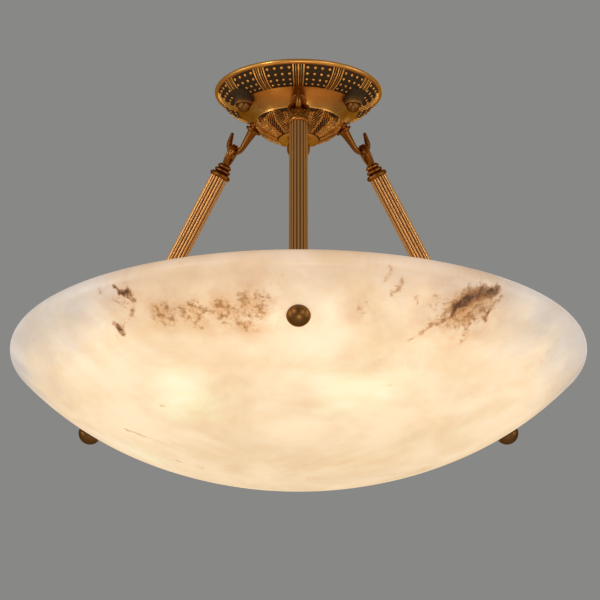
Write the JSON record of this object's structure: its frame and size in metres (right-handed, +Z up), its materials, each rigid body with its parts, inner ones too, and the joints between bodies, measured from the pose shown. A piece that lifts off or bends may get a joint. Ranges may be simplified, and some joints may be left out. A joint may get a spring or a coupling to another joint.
{
  "type": "alabaster bowl pendant",
  "caption": "Semi-flush ceiling light: a shallow translucent alabaster bowl carried by reeded brass arms that hook onto a round ornamented canopy, lit by lamps inside the bowl.",
  "frame": {"origin": "centre of the canopy and of the mounting plate's screw slots, on the ceiling plane", "axes": "+Z up into the ceiling; the front arm points along -Y; the ceiling box screws lie along X"},
  "size_m": [0.5, 0.5, 0.3558],
  "materials": {
    "alabaster": "polished translucent alabaster with brown veins, lit from inside",
    "antique_brass": "antiqued brass, rubbed bright on high spots",
    "ornate_brass": "cast antiqued brass with dark recesses",
    "bronze_knob": "turned bronze-brown knob, soft polish",
    "zinc_steel": "zinc plated steel",
    "plain_brass": "plain brass screw",
    "terminal_plastic": "moulded terminal block",
    "rubber": "soft washer",
    "holder_porcelain": "white porcelain lamp holder",
    "lamp_metal": "threaded lamp cap",
    "lamp_glass": "opal candle lamp glass"
  },
  "bodies": {
    "ceiling_assembly": {"canopy_shell": "ornate_brass", "canopy_boss": "ornate_brass", "mounting_plate": "zinc_steel", "plate_studs": "zinc_steel", "earth_screw": "plain_brass", "terminal_block": "terminal_plastic", "stem_nipple": "zinc_steel", "stem_locknut": "zinc_steel", "stem_ball": "antique_brass", "stem_ring": "antique_brass", "stem_tube": "antique_brass", "cluster_drum": "antique_brass", "cluster_lid": "antique_brass", "cluster_nut": "antique_brass", "hook_front": "antique_brass", "hook_right": "antique_brass", "hook_left": "antique_brass", "hook_nuts": "zinc_steel", "lamp_holder_1": "holder_porcelain", "lamp_holder_2": "holder_porcelain", "lamp_holder_3": "holder_porcelain", "lamp_holder_4": "holder_porcelain", "lamp_holder_5": "holder_porcelain", "lamp_holder_6": "holder_porcelain"},
    "bowl_assembly": {"bowl": "alabaster", "arm_eye_cap_front": "antique_brass", "arm_tube_front": "antique_brass", "arm_foot_front": "antique_brass", "foot_stud_front": "zinc_steel", "arm_eye_cap_right": "antique_brass", "arm_tube_right": "antique_brass", "arm_foot_right": "antique_brass", "foot_stud_right": "zinc_steel", "arm_eye_cap_left": "antique_brass", "arm_tube_left": "antique_brass", "arm_foot_left": "antique_brass", "foot_stud_left": "zinc_steel", "inner_washers": "rubber", "outer_washers": "rubber"},
    "finial_front": {"finial_front": "bronze_knob"},
    "finial_right": {"finial_right": "bronze_knob"},
    "finial_left": {"finial_left": "bronze_knob"},
    "canopy_nut_right": {"canopy_nut_right": "bronze_knob"},
    "canopy_nut_back": {"canopy_nut_back": "bronze_knob"},
    "canopy_nut_left": {"canopy_nut_left": "bronze_knob"},
    "lamp_1": {"lamp_cap_1": "lamp_metal", "lamp_glass_1": "lamp_glass"},
    "lamp_2": {"lamp_cap_2": "lamp_metal", "lamp_glass_2": "lamp_glass"},
    "lamp_3": {"lamp_cap_3": "lamp_metal", "lamp_glass_3": "lamp_glass"},
    "lamp_4": {"lamp_cap_4": "lamp_metal", "lamp_glass_4": "lamp_glass"},
    "lamp_5": {"lamp_cap_5": "lamp_metal", "lamp_glass_5": "lamp_glass"},
    "lamp_6": {"lamp_cap_6": "lamp_metal", "lamp_glass_6": "lamp_glass"}
  },
  "joints": [
    {"name": "bowl_lift", "type": "slide", "parent": "ceiling_assembly", "child": "bowl_assembly", "axis": [0, 0, 1], "range_m": [0, 0.003]},
    {"name": "finial_front_turn", "type": "hinge", "parent": "bowl_assembly", "child": "finial_front", "pos_m": [0, -0.21468, -0.28554], "axis": [0, -0.6184, -0.7859], "continuous": true},
    {"name": "finial_right_turn", "type": "hinge", "parent": "bowl_assembly", "child": "finial_right", "pos_m": [0.18592, 0.10734, -0.28554], "axis": [0.5356, 0.3092, -0.7859], "continuous": true},
    {"name": "finial_left_turn", "type": "hinge", "parent": "bowl_assembly", "child": "finial_left", "pos_m": [-0.18592, 0.10734, -0.28554], "axis": [-0.5356, 0.3092, -0.7859], "continuous": true},
    {"name": "canopy_nut_right_turn", "type": "hinge", "parent": "ceiling_assembly", "child": "canopy_nut_right", "pos_m": [0.04806, -0.02775, -0.0245], "axis": [0, 0, -1], "continuous": true},
    {"name": "canopy_nut_back_turn", "type": "hinge", "parent": "ceiling_assembly", "child": "canopy_nut_back", "pos_m": [0, 0.0555, -0.0245], "axis": [0, 0, -1], "continuous": true},
    {"name": "canopy_nut_left_turn", "type": "hinge", "parent": "ceiling_assembly", "child": "canopy_nut_left", "pos_m": [-0.04806, -0.02775, -0.0245], "axis": [0, 0, -1], "continuous": true},
    {"name": "lamp_1_turn", "type": "hinge", "parent": "ceiling_assembly", "child": "lamp_1", "pos_m": [0.01797, 0.02142, -0.26006], "axis": [0.6179, 0.7364, -0.2756], "continuous": true},
    {"name": "lamp_2_turn", "type": "hinge", "parent": "ceiling_assembly", "child": "lamp_2", "pos_m": [-0.00956, 0.02627, -0.26006], "axis": [-0.3288, 0.9033, -0.2756], "continuous": true},
    {"name": "lamp_3_turn", "type": "hinge", "parent": "ceiling_assembly", "child": "lamp_3", "pos_m": [-0.02754, 0.00486, -0.26006], "axis": [-0.9467, 0.1669, -0.2756], "continuous": true},
    {"name": "lamp_4_turn", "type": "hinge", "parent": "ceiling_assembly", "child": "lamp_4", "pos_m": [-0.01797, -0.02142, -0.26006], "axis": [-0.6179, -0.7364, -0.2756], "continuous": true},
    {"name": "lamp_5_turn", "type": "hinge", "parent": "ceiling_assembly", "child": "lamp_5", "pos_m": [0.00956, -0.02627, -0.26006], "axis": [0.3288, -0.9033, -0.2756], "continuous": true},
    {"name": "lamp_6_turn", "type": "hinge", "parent": "ceiling_assembly", "child": "lamp_6", "pos_m": [0.02754, -0.00486, -0.26006], "axis": [0.9467, -0.1669, -0.2756], "continuous": true}
  ]
}
